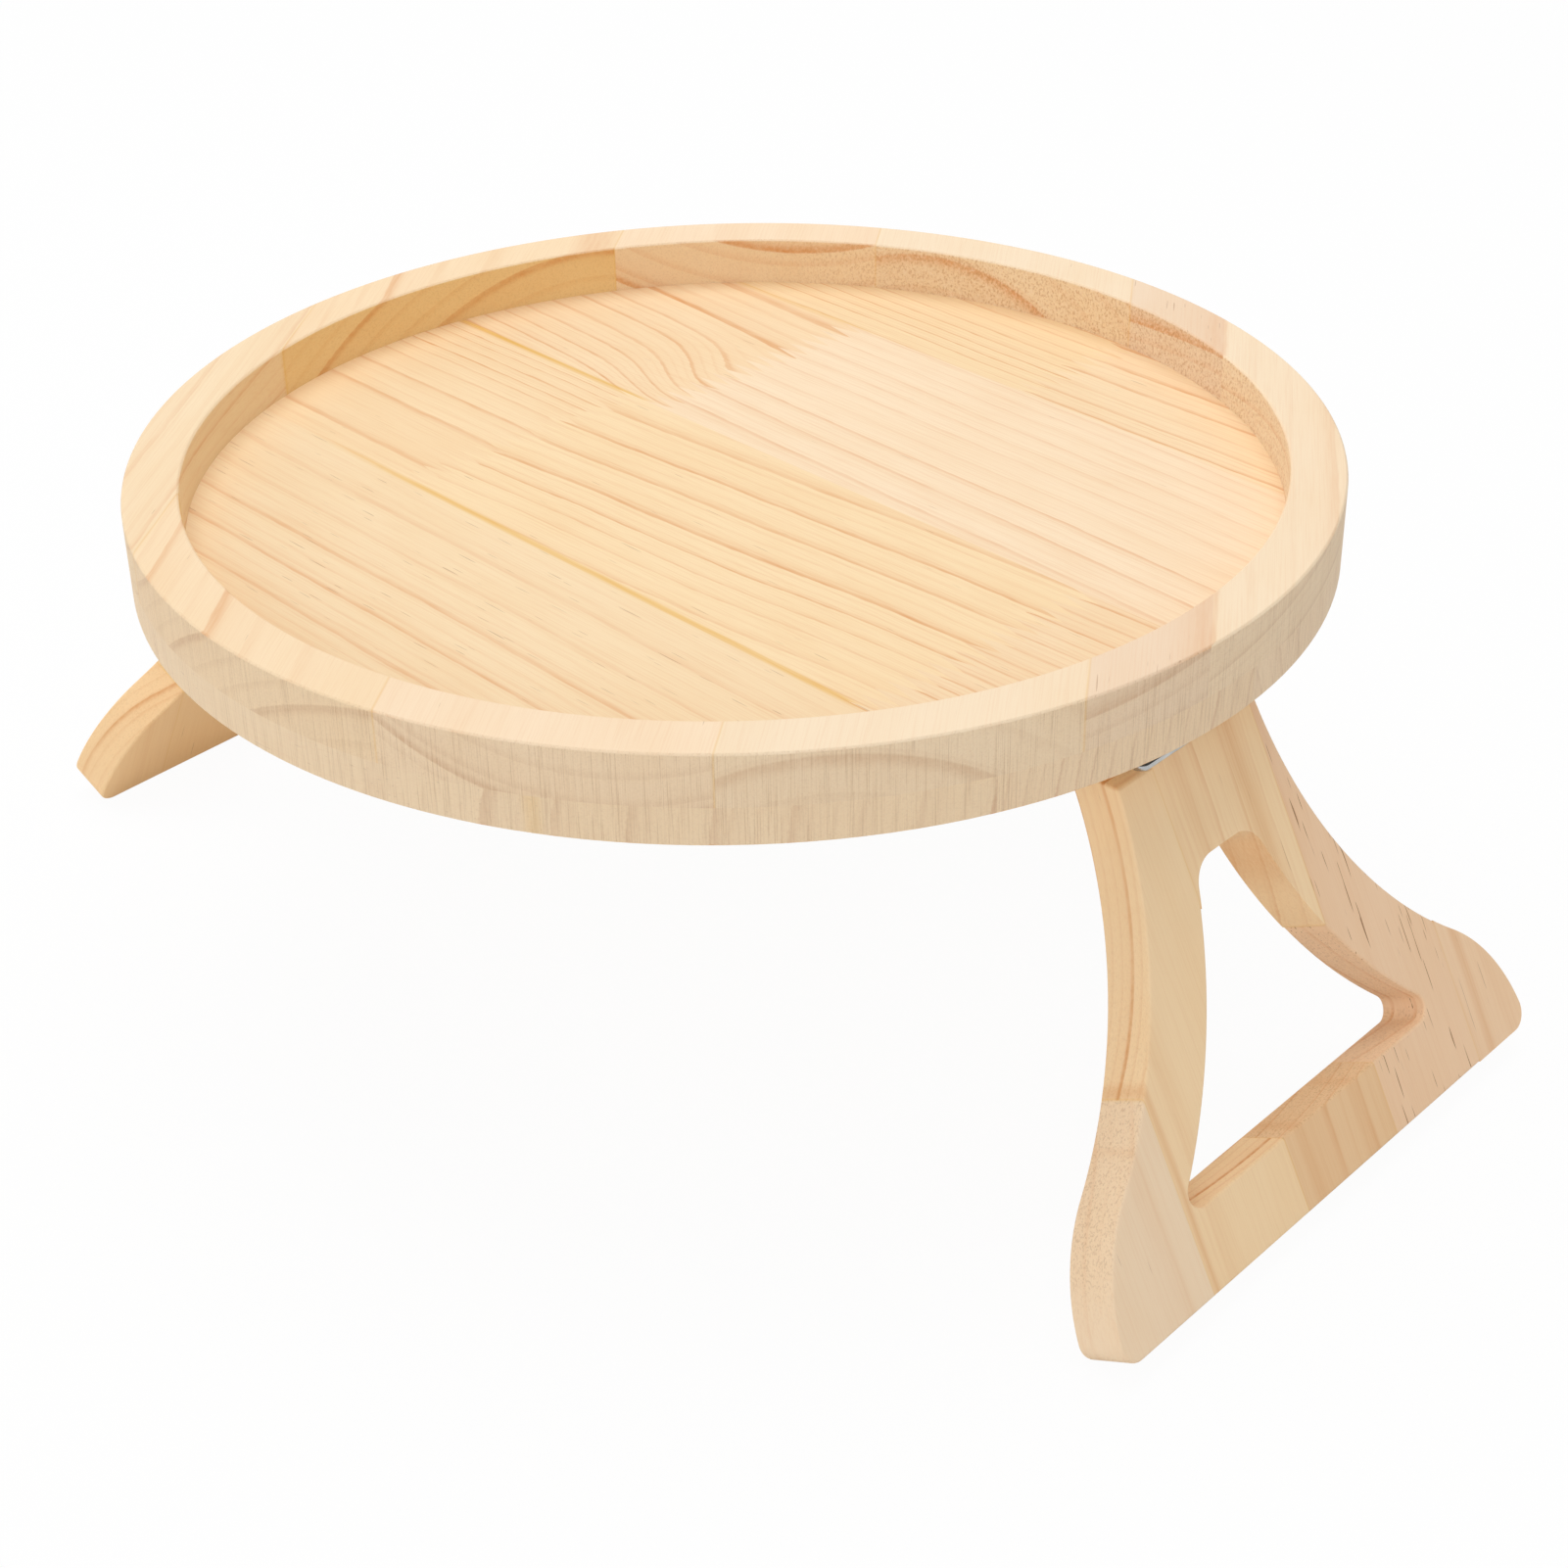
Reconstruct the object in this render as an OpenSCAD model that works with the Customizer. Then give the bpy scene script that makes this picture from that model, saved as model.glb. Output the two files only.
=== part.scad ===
// Sofa arm tray: a round pine tray on two folding legs that straddle the arm of a sofa.
// Lengths are in millimetres. +Z is up, X runs from leg to leg, Y runs along the sofa arm.
// The origin is on the surface that the feet stand on, below the middle of the tray.
// The legs are drawn swung out against their stops.

/* [Tray] */
// Outer diameter of the tray
tray_d = 300; // [280:5:330]
// Thickness of the base board
base_t = 9.5; // [8.5:0.5:14]
// Height of the rim above the base board
rim_h = 13; // [8:0.5:24]
// Width of the rim, seen from above
rim_w = 13.8; // [9:0.2:22]
// Chamfer on the tray's edges
edge_c = 0.5; // [0.2:0.1:1.5]
// How far the whole ring of rim segments is turned
rim_turn = 0; // [-15:1:15]
// Depth of the base board's first strip, at the front edge
front_strip_w = 20.8; // [15:0.2:40]
// Depth of its last strip, at the back edge
back_strip_w = 56.6; // [30:0.2:70]
// Angle of the base board's grain from +X
grain_turn = -4.2; // [-8:0.2:8]
// Length of the fingers where two lengths of one strip are joined
finger_l = 10; // [6:0.5:14]
// Spacing of those fingers
finger_pitch = 4.1; // [3.5:0.1:6]

/* [Legs] */
// Thickness of a leg
leg_t = 13; // [11:0.5:16]
// Distance from the hinge pin to the end of the foot
leg_reach = 123.4; // [112:0.2:124]
// Width of a leg at its top
neck_w = 53; // [46:1:60]
// Width of a leg at its foot
foot_w = 169; // [156:1:180]
// Radius of the bulge at each side of the foot
foot_r = 42.5; // [36:0.5:48]
// Radius of the foot's lower corners
toe_r = 5; // [2:0.5:8]
// Width of the struts beside the cut-out
strut_w = 19.4; // [16:0.2:21]
// Height of the rail below the cut-out
rail_h = 19.4; // [15:0.2:24]
// Distance from the hinge pin to the top of the cut-out
window_drop = 35.5; // [30:0.5:42]
// Radius of the cut-out's upper corners
window_top_r = 8; // [4:0.5:8]
// Radius of the cut-out's lower corners
window_low_r = 3.5; // [2:0.5:6]
// How far the legs lean out when they are open
splay = 27; // [20:1:32]
// Width of the strip in the middle of a leg
leg_strip_w = 38; // [35:1:40]
// Distance of its glue line on the heel's side from the leg's centre line
leg_strip_at = 24; // [20:1:26]
// Width of the strip at the toe of the foot
toe_strip_w = 32.5; // [30:0.5:33]
// Width of the strip at the heel of the foot
heel_strip_w = 22.5; // [18:0.5:30]

/* [Hinges] */
// Distance of each hinge pin from the tray's edge
pin_edge = 24; // [20:0.5:26]
// Distance of the pin from the plane of the leg's inner face
pin_inset = 3.8; // [3.4:0.1:4.2]
// Distance from the pin to the tray, and from the pin to the leg's end
pin_off = 5.3; // [5.2:0.1:6]
// Width of the hinge along the pin
hinge_w = 35; // [33:0.5:42]
// Thickness of the hinge's sheet steel
plate_t = 1.2; // [1:0.1:1.4]
// Radius of the plates' outer corners
plate_r = 2.5; // [1:0.5:4]
// Diameter of the pin
pin_d = 2.5; // [2:0.1:3]
// Radius of the eyes that hold the pin
eye_r = 3.3; // [3:0.1:3.5]
// Radial clearance of the leg's eyes on the pin
pin_fit = 0.05; // [0.02:0.01:0.08]
// Gap between parts of the hinge that move past each other
side_gap = 0.3; // [0.2:0.05:0.5]
// Diameter of the spring wire
wire_d = 1.2; // [1:0.1:1.3]
// Mean radius of the spring's curls
coil_r = 2.6; // [2.4:0.1:2.7]
// Full curls in the spring, before its last half turn
curls = 11; // [6:1:12]
// Length of the spring's arms
arm_l = 9; // [6:0.5:10]

/* [Screws] */
// Shank diameter of the screws
screw_d = 2.4; // [2:0.1:3]
// Head diameter of the screws
head_d = 4.6; // [4:0.1:5]
// Length of the screws that go into the tray
tray_screw_l = 8; // [6:0.5:9]
// Length of the screws that go into the legs
leg_screw_l = 13; // [9:0.5:14]
// Distance between the screws of one plate
screw_gap = 9; // [8:0.5:9.5]
// Distance of the screws from the hinge pin
screw_x = 8.4; // [7.8:0.1:8.8]
// Radial clearance of the screws in their holes
screw_fit = 0.05; // [0.02:0.01:0.1]

/* [Hidden] */
$fn = 96;
// Angles of the glued joints round the rim, from +X
RIM_JOINTS = [-17, 15.1, 47.2, 79.3, 115.8, 148.8, 174.7, 200.5, 227.6, 254.7, 281.8, 311.1];
rim_count = len(RIM_JOINTS);
// Each length of the base board: its strip, counted from the front, and where it begins and ends along it
OUT = 200;
BASE_LENGTHS = [
  [0, -OUT, OUT], [1, -OUT, OUT],
  [2, -OUT, -62], [2, -62, 100], [2, 100, OUT],
  [3, -OUT, -52], [3, -52, OUT],
  [4, -OUT, 12], [4, 12, OUT]
];
base_count = len(BASE_LENGTHS);
LEG_PARTS = ["toe_strip", "toe_strut", "head_block", "foot_rail", "heel_strut", "heel_strip"];
HINGE_PARTS = ["hinge_bracket", "hinge_leaf", "hinge_pin", "hinge_spring", "tray_screws", "leg_screws"];
SIDES = ["right", "left"];

// How much smaller the pin's heads are than the eyes, and how high they stand
pin_head_inset = 1.1;
pin_head_t = 0.8;
// Play between the bracket's toes and the leaf that they stop
toe_gap = 0.2;
// Points in each curl of the spring, and round its wire
rings = 8;
sides = 6;

tray_r = tray_d / 2;
// The three strips between the first and the last share what is left of the board
middle_strip_w = (tray_d - front_strip_w - back_strip_w) / 3;
// The strips' edges from front to back: the first and the last lie outside the board
strip_lines = concat([-tray_d], [for (k = [0 : 3]) front_strip_w - tray_r + k * middle_strip_w], [tray_d]);
rim_in = tray_r - rim_w;
pin_x = tray_r - pin_edge;
// The leg's inner lower edge stands on the surface below
pin_z = leg_reach * cos(splay) + pin_inset * sin(splay);
under_z = pin_z + pin_off;
top_z = under_z + base_t + rim_h;

// The leg's end is bevelled, so that it lies level when the leg is open.
// Its inner and outer corners, as distances from the pin along X
end_in = (-pin_inset + pin_off * sin(splay)) / cos(splay);
end_out = (leg_t - pin_inset + pin_off * sin(splay)) / cos(splay);
// The flare begins level with the inner corner of the leg's end
flare_v = end_in * sin(splay) + pin_off * cos(splay);
flare_h = leg_reach - flare_v;
bulge_u = foot_w / 2 - foot_r;
neck_k = neck_w / 2 - bulge_u;
// Radius of the hollow flank that meets the neck upright and runs smoothly into the bulge
flare_r = (neck_k * neck_k + flare_h * flare_h - foot_r * foot_r) / (2 * (foot_r - neck_k));
flare_u = neck_w / 2 + flare_r;
// Where the hollow flank meets the bulge
meet_u = bulge_u + (flare_u - bulge_u) * foot_r / (flare_r + foot_r);
meet_v = leg_reach + (flare_v - leg_reach) * foot_r / (flare_r + foot_r);
// Centre of the foot's lower corner, and where that corner meets the bulge
toe_u = bulge_u + sqrt(pow(foot_r - toe_r, 2) - toe_r * toe_r);
toe_meet_u = bulge_u + (toe_u - bulge_u) * foot_r / (foot_r - toe_r);
toe_meet_v = leg_reach - toe_r * foot_r / (foot_r - toe_r);
// The cut-out's sides follow the flanks at the strut's width
window_r = flare_r + strut_w;
window_bottom = leg_reach - rail_h;

// Places along the pin: the bracket's ears outside, the leaf's ears inside them, then the spring
ear_y = hinge_w / 2 - plate_t;
eye_y = ear_y - side_gap - plate_t;
spring_y = eye_y - side_gap - wire_d;
pin_r = pin_d / 2;
// The pin's ends are peened into low heads outside the bracket's ears
pin_head_r = eye_r - pin_head_inset;
// The bracket's toes stop the leaf when the leg is open
toe_x0 = screw_x + head_d / 2 - plate_t;
toe_x1 = end_out - plate_r;
head_t = (head_d - screw_d) / 2;
pitch = 2 * spring_y / (curls + 0.5);

// Where the centre of a cut-out's corner lies across the leg, at a distance down it
function corner_u(v, r) = flare_u - sqrt(pow(window_r + r, 2) - pow(v - flare_v, 2));
// Where that corner meets the cut-out's side
function side_point(v, r) = [
  flare_u + (corner_u(v, r) - flare_u) * window_r / (window_r + r),
  flare_v + (v - flare_v) * window_r / (window_r + r)
];

// Places a flat outline in the plane of a leg: x is across the leg, y is down from the pin
module leg_slab() {
  rotate([0, -splay, 0]) translate([-pin_inset, 0, 0]) rotate([90, 0, 90])
    linear_extrude(leg_t) mirror([0, 1]) children();
}

module both_halves() {
  children();
  mirror([1, 0]) children();
}

module half_neck_2d() {
  difference() {
    square([meet_u, meet_v]);
    translate([neck_w / 2, 0]) square([flare_u, flare_v]);
    intersection() {
      translate([flare_u, flare_v]) circle(flare_r);
      translate([0, flare_v]) square([flare_u, flare_h]);
    }
  }
}

module half_foot_2d() {
  intersection() {
    translate([bulge_u, leg_reach]) circle(foot_r);
    translate([0, meet_v]) square([foot_w, toe_meet_v - meet_v]);
  }
  intersection() {
    translate([toe_u, leg_reach - toe_r]) circle(toe_r);
    translate([0, meet_v]) square([foot_w, flare_h]);
  }
  polygon([
    [0, meet_v], [bulge_u, meet_v], [bulge_u, toe_meet_v], [toe_meet_u, toe_meet_v],
    [toe_u, leg_reach - toe_r], [toe_u, leg_reach], [0, leg_reach]
  ]);
}

module half_window_2d() {
  top_v = window_drop + window_top_r;
  low_v = window_bottom - window_low_r;
  top_u = corner_u(top_v, window_top_r);
  low_u = corner_u(low_v, window_low_r);
  top_side = side_point(top_v, window_top_r);
  low_side = side_point(low_v, window_low_r);
  difference() {
    translate([0, top_side[1]]) square([flare_u, low_side[1] - top_side[1]]);
    translate([flare_u, flare_v]) circle(window_r);
  }
  translate([top_u, top_v]) circle(window_top_r);
  translate([low_u, low_v]) circle(window_low_r);
  polygon([[0, window_drop], [top_u, window_drop], [top_u, top_v], top_side, [0, top_side[1]]]);
  polygon([[0, low_side[1]], low_side, [low_u, low_v], [low_u, window_bottom], [0, window_bottom]]);
}

module leg_2d() {
  difference() {
    both_halves() {
      half_neck_2d();
      half_foot_2d();
    }
    both_halves() half_window_2d();
  }
}

// One glued strip of the right leg, between two distances across it and two distances down it
module leg_piece(u0, u1, v0, v1) {
  difference() {
    leg_slab() intersection() {
      leg_2d();
      translate([u0, v0]) square([u1 - u0, v1 - v0]);
    }
    translate([-foot_w, -foot_w, -pin_off]) cube([2 * foot_w, 2 * foot_w, foot_w]);
    at_screws() leg_screw_hole();
  }
}

module leg_strip(k) {
  // The strip in the middle is cut in two where the cut-out is widest
  mid_v = window_bottom - window_low_r;
  u3 = foot_w / 2 - heel_strip_w;
  u2 = leg_strip_at;
  u1 = u2 - leg_strip_w;
  u0 = toe_strip_w - foot_w / 2;
  if (k == 0) leg_piece(-foot_w, u0, 0, leg_reach);
  if (k == 1) leg_piece(u0, u1, 0, leg_reach);
  if (k == 2) leg_piece(u1, u2, 0, mid_v);
  if (k == 3) leg_piece(u1, u2, mid_v, leg_reach);
  if (k == 4) leg_piece(u2, u3, 0, leg_reach);
  if (k == 5) leg_piece(u3, foot_w, 0, leg_reach);
}

// The two legs and hinges are the same parts, turned half round from each other
module on_side(side) {
  rotate([0, 0, side == "right" ? 0 : 180]) translate([pin_x, 0, pin_z]) children();
}

module at_screws() {
  for (j = [-1 : 1]) translate([screw_x, j * screw_gap, 0]) children();
}

// The solid of a screw pointing up from its flat head, and the hole that it fits
module screw_shape(length, grow) {
  rotate_extrude() polygon([
    [0, 0], [head_d / 2 + grow, 0], [screw_d / 2 + grow, head_t],
    [screw_d / 2 + grow, length - head_t + grow], [0, length + grow]
  ]);
}

module tray_screw_hole() {
  translate([0, 0, pin_off - plate_t]) screw_shape(tray_screw_l, screw_fit);
}

module leg_screw_hole() {
  translate([0, 0, plate_t - pin_off]) mirror([0, 0, 1]) screw_shape(leg_screw_l, screw_fit);
}

module base_blank() {
  translate([0, 0, under_z]) rotate_extrude() polygon([
    [0, 0], [tray_r - edge_c, 0], [tray_r, edge_c], [tray_r, base_t], [0, base_t]
  ]);
}

// The end of a length: straight where it lies outside the board, or a row of fingers
function strip_end(x, y0, y1) = abs(x) > tray_r ? [[x, y0], [x, y1]]
  : let (n = round((y1 - y0) / finger_pitch)) [for (k = [0 : 2 * n])
    [x + (k % 2 - 0.5) * finger_l, y0 + (y1 - y0) * k / (2 * n)]];

function reversed(line) = [for (k = [len(line) - 1 : -1 : 0]) line[k]];

module base_strip(i) {
  length = BASE_LENGTHS[i - 1];
  y0 = strip_lines[length[0]];
  y1 = strip_lines[length[0] + 1];
  color("burlywood") difference() {
    intersection() {
      base_blank();
      rotate([0, 0, grain_turn]) linear_extrude(top_z)
        polygon(concat(strip_end(length[1], y0, y1), reversed(strip_end(length[2], y0, y1))));
    }
    for (side = SIDES) on_side(side) at_screws() tray_screw_hole();
  }
}

module rim_segment(i) {
  start = RIM_JOINTS[i - 1];
  end = i == rim_count ? RIM_JOINTS[0] + 360 : RIM_JOINTS[i];
  color("wheat") translate([0, 0, under_z + base_t]) rotate([0, 0, rim_turn + start])
    rotate_extrude(angle = end - start) polygon([
      [rim_in, 0], [tray_r, 0], [tray_r, rim_h - edge_c], [tray_r - edge_c, rim_h],
      [rim_in + edge_c, rim_h], [rim_in, rim_h - edge_c]
    ]);
}

// A sheet steel plate above the pin, with a square end at the pin and rounded corners outside
module hinge_plate_2d() {
  corner_y = hinge_w / 2 - plate_r;
  translate([end_in, -hinge_w / 2]) square([end_out - plate_r - end_in, hinge_w]);
  translate([end_in, -corner_y]) square([end_out - end_in, 2 * corner_y]);
  for (s = [-1, 1]) translate([end_out - plate_r, s * corner_y]) circle(plate_r);
}

module upright(y) {
  for (s = [0, 1]) mirror([0, s, 0])
    translate([0, y + plate_t, 0]) rotate([90, 0, 0]) linear_extrude(plate_t) children();
}

module hinge_bracket() {
  difference() {
    union() {
      translate([0, 0, pin_off - plate_t]) linear_extrude(plate_t) hinge_plate_2d();
      upright(ear_y) {
        circle(eye_r);
        translate([end_in, 0]) square([toe_x1 - end_in, pin_off - plate_t / 2]);
        translate([toe_x0, toe_gap + plate_t - pin_off]) square([toe_x1 - toe_x0, pin_off]);
      }
    }
    rotate([90, 0, 0]) cylinder(r = pin_r + screw_fit, h = 2 * hinge_w, center = true);
    at_screws() tray_screw_hole();
  }
}

module hinge_leaf() {
  difference() {
    union() {
      translate([0, 0, -pin_off]) linear_extrude(plate_t) hinge_plate_2d();
      upright(eye_y) {
        circle(eye_r);
        translate([end_in, plate_t / 2 - pin_off]) square([eye_r - end_in, pin_off - plate_t / 2]);
      }
    }
    rotate([90, 0, 0]) cylinder(r = pin_r + pin_fit, h = 2 * hinge_w, center = true);
    at_screws() leg_screw_hole();
  }
}

module hinge_pin() {
  rotate([90, 0, 0]) cylinder(r = pin_r, h = hinge_w, center = true);
  for (s = [0, 1]) mirror([0, s, 0]) translate([0, hinge_w / 2, 0]) rotate([-90, 0, 0])
    cylinder(r1 = pin_head_r, r2 = pin_r, h = pin_head_t);
}

// The spring's middle line: an arm under the tray's plate, the curls, and an arm on the leg's plate
arm_z = pin_off - plate_t - side_gap - wire_d / 2;
coil_steps = rings * curls + rings / 2;
coil_line = [for (k = [0 : coil_steps]) let (a = 90 + 360 * k / rings)
  [coil_r * cos(a), -spring_y + pitch * k / rings, coil_r * sin(a)]];
spring_line = concat([[arm_l, -spring_y, arm_z], [wire_d, -spring_y, coil_r]], coil_line,
  [[wire_d, spring_y, -coil_r], [arm_l, spring_y, -arm_z]]);

function unit(v) = v / norm(v);
function along(line, k) = unit(line[min(k + 1, len(line) - 1)] - line[max(k - 1, 0)]);
function ring(line, k, r) = let (t = along(line, k), n = unit(cross(t, [0, 1, 0])), b = cross(n, t))
  [for (j = [0 : sides - 1]) line[k] + r * (cos(360 * j / sides) * n + sin(360 * j / sides) * b)];

// A tube round a line of points, as triangles
module tube(line, r) {
  last = len(line) - 1;
  points = [for (k = [0 : last]) for (p = ring(line, k, r)) p];
  walls = [for (k = [0 : last - 1]) for (j = [0 : sides - 1])
    let (a = k * sides + j, b = k * sides + (j + 1) % sides)
      each [[a, b, a + sides], [b, b + sides, a + sides]]];
  ends = [for (j = [1 : sides - 2]) each [[0, j + 1, j],
    [last * sides, last * sides + j, last * sides + j + 1]]];
  polyhedron(points, concat(walls, ends));
}

// The least gap between curls, measured on the points of the middle line
curl_gaps = [for (a = [0 : coil_steps - rings + 1]) for (b = [a + rings - 1 : coil_steps])
  norm(coil_line[a] - coil_line[b]) - wire_d];
echo(least_spring_gap = min(curl_gaps));

module hinge_spring() {
  tube(spring_line, wire_d / 2);
}

module screws(length) {
  for (j = [-1 : 1]) translate([screw_x, j * screw_gap, pin_off - plate_t]) screw_shape(length, 0);
}

module leg_part(side, part) {
  color("burlywood") on_side(side) leg_strip(search([part], LEG_PARTS)[0]);
}

module hinge_part(side, part) {
  color("silver") on_side(side) {
    if (part == "hinge_bracket") hinge_bracket();
    if (part == "hinge_leaf") hinge_leaf();
    if (part == "hinge_pin") hinge_pin();
    if (part == "hinge_spring") hinge_spring();
    if (part == "tray_screws") screws(tray_screw_l);
    if (part == "leg_screws") mirror([0, 0, 1]) screws(leg_screw_l);
  }
}

for (i = [1 : base_count]) base_strip(i);
for (i = [1 : rim_count]) rim_segment(i);
for (s = SIDES) for (p = LEG_PARTS) leg_part(s, p);
for (s = SIDES) for (p = HINGE_PARTS) hinge_part(s, p);
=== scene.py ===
# %% [markdown]
# # A pine tray for the arm of a sofa
#
# The tray is a round board with a rim glued on top, and it stands on two splayed legs that fold under it on
# small spring hinges. Almost all that shows is bare, sanded pine, so this lesson is mostly about wood: how a
# log's growth rings turn into stripes, flames and arches when boards are cut from it, and how boards that are
# glued up from several pieces give themselves away.
#
# The packed model comes first. Its nodes are the exact solids that the workshop would make, and each piece
# below takes its size and place from them.

# %% Load the packed model
import math

import bmesh
import bpy
from mathutils import Matrix, Vector


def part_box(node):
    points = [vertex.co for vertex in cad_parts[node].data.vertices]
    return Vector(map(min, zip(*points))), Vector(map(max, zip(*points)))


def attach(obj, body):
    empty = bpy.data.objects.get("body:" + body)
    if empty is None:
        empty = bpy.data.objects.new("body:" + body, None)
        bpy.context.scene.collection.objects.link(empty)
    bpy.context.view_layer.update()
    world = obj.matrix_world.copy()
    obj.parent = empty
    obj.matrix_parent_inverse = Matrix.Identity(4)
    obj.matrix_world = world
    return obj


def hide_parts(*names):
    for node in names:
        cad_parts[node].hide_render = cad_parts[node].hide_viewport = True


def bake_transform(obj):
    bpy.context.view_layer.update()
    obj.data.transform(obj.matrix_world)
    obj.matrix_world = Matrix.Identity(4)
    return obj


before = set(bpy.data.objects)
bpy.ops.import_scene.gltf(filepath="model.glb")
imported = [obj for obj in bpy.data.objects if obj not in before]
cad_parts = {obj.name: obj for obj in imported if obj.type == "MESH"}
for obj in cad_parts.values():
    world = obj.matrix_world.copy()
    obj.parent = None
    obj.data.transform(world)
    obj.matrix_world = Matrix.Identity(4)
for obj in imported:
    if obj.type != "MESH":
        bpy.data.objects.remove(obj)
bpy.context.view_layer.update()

MM = 0.001

# %% [markdown]
# ## Sizes read from the model
#
# The script needs a few heights and radii of its own, for the glue lines and the growth rings. They are read
# from the nodes' boxes, so that they follow the model when it changes.

# %% Read the main sizes
rim_low, rim_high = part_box("rim_segment_3")
floor_z = rim_low.z
top_z = rim_high.z
under_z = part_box("base_strip_4")[0].z
RIM_SEGMENTS = range(1, 13)
SIDES = {"right": 1, "left": -1}
tray_r = max(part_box(f"rim_segment_{k}")[1].y for k in RIM_SEGMENTS)
pin_low, pin_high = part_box("right_hinge_pin")
pin = (pin_low + pin_high) / 2
print(f"tray radius {tray_r / MM:.1f} mm, floor at {floor_z / MM:.1f} mm, hinge pin at {pin.x / MM:.1f} mm")

# %% [markdown]
# ## The camera
#
# The camera stands where the photographer's did. A product photograph is usually taken from some way off with
# a long lens, which keeps circles looking like calm ellipses. The three angles below turn a level camera to
# the tray, tip it down, and roll it by the one degree that the real camera leaned.

# %% Place the camera
CAMERA_AT = Vector((0.45101, -0.47437, 0.44474))
CAMERA_TURN = math.radians(42.63)
CAMERA_TIP = math.radians(31.79)
CAMERA_ROLL = math.radians(-1.08)
CAMERA_LENS = 66.35
SENSOR_WIDTH = 36

camera_data = bpy.data.cameras.new("camera")
camera_data.lens = CAMERA_LENS
camera_data.sensor_width = SENSOR_WIDTH
camera = bpy.data.objects.new("camera", camera_data)
bpy.context.scene.collection.objects.link(camera)
camera.matrix_world = (
    Matrix.Translation(CAMERA_AT)
    @ Matrix.Rotation(CAMERA_TURN, 4, "Z")
    @ Matrix.Rotation(math.pi / 2 - CAMERA_TIP, 4, "X")
    @ Matrix.Rotation(CAMERA_ROLL, 4, "Z")
)
bpy.context.scene.camera = camera
bpy.context.scene.view_settings.view_transform = "Standard"
print(f"camera {CAMERA_AT.length:.2f} m from the origin, {CAMERA_LENS} mm lens")

# %% [markdown]
# ## Writing shaders as sums
#
# A material is a graph of nodes, and wood needs dozens of them. Written link by link, such a graph is hard to
# read. Here a `Signal` stands for the output of a node, and Python's own operators add Math nodes to the
# graph, so that `1 - mask` means what it says. Anything else comes from one method, `node`. The world has a
# graph too, so the two kinds share a `Graph`, and a `Finish` is the graph of a material.

# %% A small language for shaders
class Signal:
    """A value that varies over a surface: the output of a node."""

    def __init__(self, graph, socket):
        self.graph = graph
        self.socket = socket

    def math(self, operation, *others):
        inputs = dict(enumerate((self, *others)))
        return self.graph.node("ShaderNodeMath", {"operation": operation}, inputs)

    def __add__(self, other):
        return self.math("ADD", other)

    __radd__ = __add__

    def __sub__(self, other):
        return self.math("SUBTRACT", other)

    def __rsub__(self, other):
        return self.graph.node("ShaderNodeMath", {"operation": "SUBTRACT"}, {0: other, 1: self})

    def __mul__(self, other):
        return self.math("MULTIPLY", other)

    __rmul__ = __mul__

    def __truediv__(self, other):
        return self.math("DIVIDE", other)

    def __pow__(self, power):
        return self.math("POWER", power)

    def __abs__(self):
        return self.math("ABSOLUTE")

    def rise(self, low, high):
        """0 below low, 1 above high, and a soft S between them."""
        settings = {"interpolation_type": "SMOOTHSTEP"}
        return self.graph.node("ShaderNodeMapRange", settings, {0: self, 1: low, 2: high, 3: 0.0, 4: 1.0})

    def dot(self, direction):
        """For a place: how far it lies along a direction."""
        settings = {"operation": "DOT_PRODUCT"}
        return self.graph.node("ShaderNodeVectorMath", settings, {0: self, 1: direction}, "Value")

    def scaled(self, by):
        """For a place: each of its three numbers multiplied by its own factor."""
        return self.graph.node("ShaderNodeVectorMath", {"operation": "MULTIPLY"}, {0: self, 1: by})


class Graph:
    """The nodes of a material or of the world, while they are being written."""

    def __init__(self, owner, output):
        owner.use_nodes = True
        self.tree = owner.node_tree
        self.tree.nodes.clear()
        self.surface = self.tree.nodes.new(output).inputs["Surface"]

    def put(self, socket, value):
        if isinstance(value, Signal):
            self.tree.links.new(value.socket, socket)
        else:
            socket.default_value = value

    def node(self, kind, settings=None, inputs=None, output=0):
        made = self.tree.nodes.new(kind)
        for key, value in (settings or {}).items():
            setattr(made, key, value)
        for key, value in (inputs or {}).items():
            self.put(made.inputs[key], value)
        return Signal(self, made.outputs[output])

    def mix(self, amount, a, b, blend="MIX"):
        """Colour a where amount is 0, colour b where it is 1."""
        settings = {"data_type": "RGBA", "blend_type": blend}
        return self.node("ShaderNodeMix", settings, {0: amount, 6: a, 7: b}, 2)

    def vector(self, x, y, z):
        return self.node("ShaderNodeCombineXYZ", None, {0: x, 1: y, 2: z})

    def noise(self, place, scale=1.0, detail=2.0, roughness=0.5):
        return self.node(
            "ShaderNodeTexNoise", {"noise_dimensions": "3D"},
            {"Vector": place, "Scale": scale, "Detail": detail, "Roughness": roughness})

    def chance(self, number):
        """One random value for each whole number."""
        return self.node("ShaderNodeTexWhiteNoise", {"noise_dimensions": "1D"}, {"W": number}, "Value")

    def place(self):
        return self.node("ShaderNodeTexCoord", output="Object")

    def facing(self):
        return self.node("ShaderNodeTexCoord", output="Normal")

    def ray(self, kind):
        """1 for the rays of one kind, such as "Is Camera Ray"."""
        return self.node("ShaderNodeLightPath", output=kind)


class Finish(Graph):
    """The graph of a material, with its shader."""

    def __init__(self, name):
        self.material = bpy.data.materials.new(name)
        super().__init__(self.material, "ShaderNodeOutputMaterial")
        self.shader = self.tree.nodes.new("ShaderNodeBsdfPrincipled")
        self.shaded = Signal(self, self.shader.outputs[0])
        self.put(self.surface, self.shaded)

    def set(self, **values):
        """set(base_color=..., roughness=...) fills the shader's own sockets."""
        for key, value in values.items():
            self.put(self.shader.inputs[key.replace("_", " ").title().replace("Ior", "IOR")], value)
        return self.material


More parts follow.
